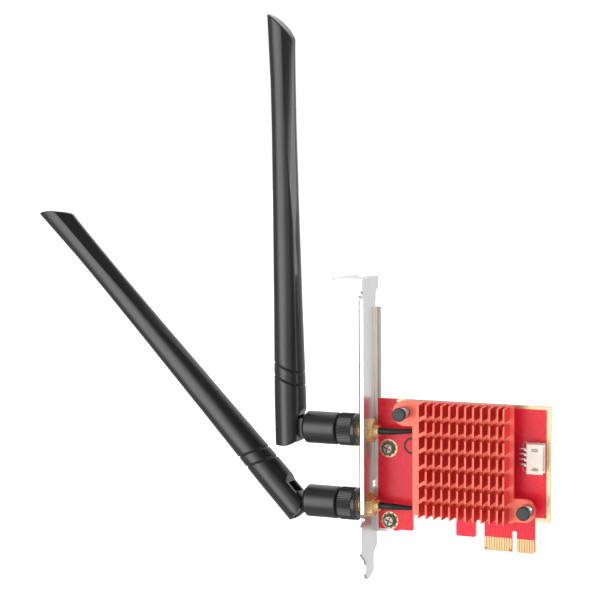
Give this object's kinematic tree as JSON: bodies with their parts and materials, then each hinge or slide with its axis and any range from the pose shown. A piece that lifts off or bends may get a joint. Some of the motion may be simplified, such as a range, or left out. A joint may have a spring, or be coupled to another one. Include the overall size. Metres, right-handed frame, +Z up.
{
  "type": "wireless network expansion card",
  "caption": "Red circuit board on a slot bracket, with a finned heatsink over its radio module and hinged, swivelling blade antennas screwed to the bracket's jacks.",
  "frame": {"origin": "on the bracket's outer face, level with the board's component face and with the lower edge of the edge connector", "axes": "+X inward along the board, away from the bracket; -Y the component side; +Z up from the edge connector to the bracket's top tab"},
  "size_m": [0.2248, 0.0212, 0.2238],
  "materials": {
    "pcb": "red solder mask over glass laminate, semi-gloss",
    "gold_plating": "thin gold plating over copper",
    "bracket_nickel": "bright plated sheet steel",
    "fastener_steel": "plated steel, satin",
    "washer_dark": "dark bronze-coloured toothed steel",
    "heatsink_red": "red anodised, satin",
    "pin_plastic": "dark grey nylon",
    "thermal_pad": "soft grey-blue silicone",
    "module_board": "green solder mask over glass laminate",
    "chip_black": "black moulding compound",
    "brass": "turned brass, thin gold flash",
    "header_ivory": "ivory nylon",
    "insulator_white": "white fluoropolymer",
    "cable_black": "black cable jacket and shrink sleeve",
    "antenna_black": "black semi-gloss moulding",
    "nut_black": "black plated, finely knurled",
    "hinge_steel": "blackened steel",
    "strip_board": "bare laminate with copper track"
  },
  "bodies": {
    "card": {"pcb": "pcb", "edge_contacts": "gold_plating", "board_plating": "gold_plating", "jack_contact_upper": "gold_plating", "jack_contact_lower": "gold_plating", "plug_contacts": "gold_plating", "crimp_ferrules": "gold_plating", "bracket": "bracket_nickel", "bracket_screws": "fastener_steel", "pin_spring_upper": "fastener_steel", "pin_spring_lower": "fastener_steel", "module_shield": "fastener_steel", "module_screw": "fastener_steel", "header_pins": "fastener_steel", "lock_washers": "washer_dark", "heatsink": "heatsink_red", "thermal_pad": "thermal_pad", "module_board": "module_board", "module_chip": "chip_black", "module_socket": "chip_black", "module_jacks": "brass", "module_standoff": "brass", "jack_body_upper": "brass", "jack_body_lower": "brass", "jack_washers": "brass", "jack_nuts": "brass", "coax_plugs": "brass", "antenna_plug_upper": "brass", "antenna_plug_lower": "brass", "header_housing": "header_ivory", "jack_insulator_upper": "insulator_white", "jack_insulator_lower": "insulator_white", "plug_insulators": "insulator_white", "heat_shrink_upper": "cable_black", "heat_shrink_lower": "cable_black", "coax_upper": "cable_black", "coax_lower": "cable_black"},
    "pin_upper": {"push_pin_upper": "pin_plastic"},
    "pin_lower": {"push_pin_lower": "pin_plastic"},
    "nut_upper": {"coupling_nut_upper": "nut_black"},
    "nut_lower": {"coupling_nut_lower": "nut_black"},
    "swivel_upper": {"collar_upper": "antenna_black"},
    "swivel_lower": {"collar_lower": "antenna_black"},
    "antenna_upper": {"blade_upper": "antenna_black", "hinge_pin_upper": "hinge_steel", "antenna_board_upper": "strip_board"},
    "antenna_lower": {"blade_lower": "antenna_black", "hinge_pin_lower": "hinge_steel", "antenna_board_lower": "strip_board"}
  },
  "joints": [
    {"name": "upper_pin_press", "type": "slide", "parent": "card", "child": "pin_upper", "axis": [0, 1, 0], "range_m": [0, 0.002], "stiffness_N_per_m": 600, "springref_m": -0.004, "deforming": ["pin_spring_upper"]},
    {"name": "lower_pin_press", "type": "slide", "parent": "card", "child": "pin_lower", "axis": [0, 1, 0], "range_m": [0, 0.002], "stiffness_N_per_m": 600, "springref_m": -0.004, "deforming": ["pin_spring_lower"]},
    {"name": "upper_nut_turn", "type": "hinge", "parent": "card", "child": "nut_upper", "pos_m": [-0.007, -0.0053, 0.04525], "axis": [1, 0, 0], "continuous": true},
    {"name": "lower_nut_turn", "type": "hinge", "parent": "card", "child": "nut_lower", "pos_m": [-0.007, -0.0053, 0.0154], "axis": [1, 0, 0], "continuous": true},
    {"name": "upper_swivel", "type": "hinge", "parent": "card", "child": "swivel_upper", "pos_m": [-0.018, -0.0053, 0.04525], "axis": [1, 0, 0], "range_deg": [-135, 135]},
    {"name": "lower_swivel", "type": "hinge", "parent": "card", "child": "swivel_lower", "pos_m": [-0.018, -0.0053, 0.0154], "axis": [1, 0, 0], "continuous": true},
    {"name": "upper_hinge", "type": "hinge", "parent": "swivel_upper", "child": "antenna_upper", "pos_m": [-0.03365, -0.0053, 0.04525], "axis": [0, 0.9999, -0.0105], "range_deg": [-43, 1.3]},
    {"name": "lower_hinge", "type": "hinge", "parent": "swivel_lower", "child": "antenna_lower", "pos_m": [-0.03365, -0.0053, 0.0154], "axis": [0, 0.9974, -0.0715], "range_deg": [-45.4, 14]}
  ]
}
